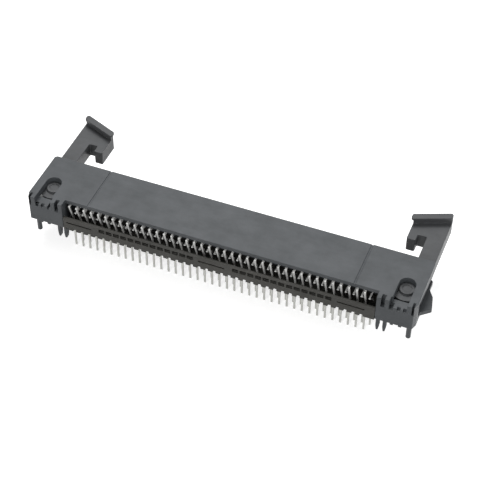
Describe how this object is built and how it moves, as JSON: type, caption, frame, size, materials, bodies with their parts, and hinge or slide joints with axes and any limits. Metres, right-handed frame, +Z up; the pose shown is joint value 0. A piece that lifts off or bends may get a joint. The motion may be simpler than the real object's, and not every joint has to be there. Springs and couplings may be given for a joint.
{
  "type": "rectangular connector",
  "caption": "Right-angle board header with two rows of pins in a long flat shroud, a rear tail locator strip and a swinging latch with a finger tab at each end.",
  "frame": {"origin": "on the board's surface, midway along the housing, under the rear row of tails", "axes": "+X along the connector, +Y out of the mating side, +Z up from the board"},
  "size_m": [0.0678, 0.0216, 0.0106],
  "materials": {
    "housing_plastic": "fine moulded grain, dark grey",
    "locator_plastic": "fine moulded grain, darker warm grey",
    "latch_plastic": "fine moulded grain, dark grey",
    "contact_metal": "satin tin plate"
  },
  "bodies": {
    "base": {"housing": "housing_plastic", "tail_locator": "locator_plastic", "upper_contacts_1": "contact_metal", "upper_contacts_2": "contact_metal", "upper_contacts_3": "contact_metal", "upper_contacts_4": "contact_metal", "upper_contacts_5": "contact_metal", "upper_contacts_6": "contact_metal", "upper_contacts_7": "contact_metal", "upper_contacts_8": "contact_metal", "lower_contacts_1": "contact_metal", "lower_contacts_2": "contact_metal", "lower_contacts_3": "contact_metal", "lower_contacts_4": "contact_metal", "lower_contacts_5": "contact_metal", "lower_contacts_6": "contact_metal", "lower_contacts_7": "contact_metal", "lower_contacts_8": "contact_metal"},
    "right_lever": {"right_latch": "latch_plastic"},
    "left_lever": {"left_latch": "latch_plastic"}
  },
  "joints": [
    {"name": "right_latch_pivot", "type": "hinge", "parent": "base", "child": "right_lever", "pos_m": [0.0297, 0.002, 0], "axis": [0, 0, -1], "range_deg": [0, 25]},
    {"name": "left_latch_pivot", "type": "hinge", "parent": "base", "child": "left_lever", "pos_m": [-0.0297, 0.002, 0], "axis": [0, 0, 1], "range_deg": [0, 25]}
  ]
}
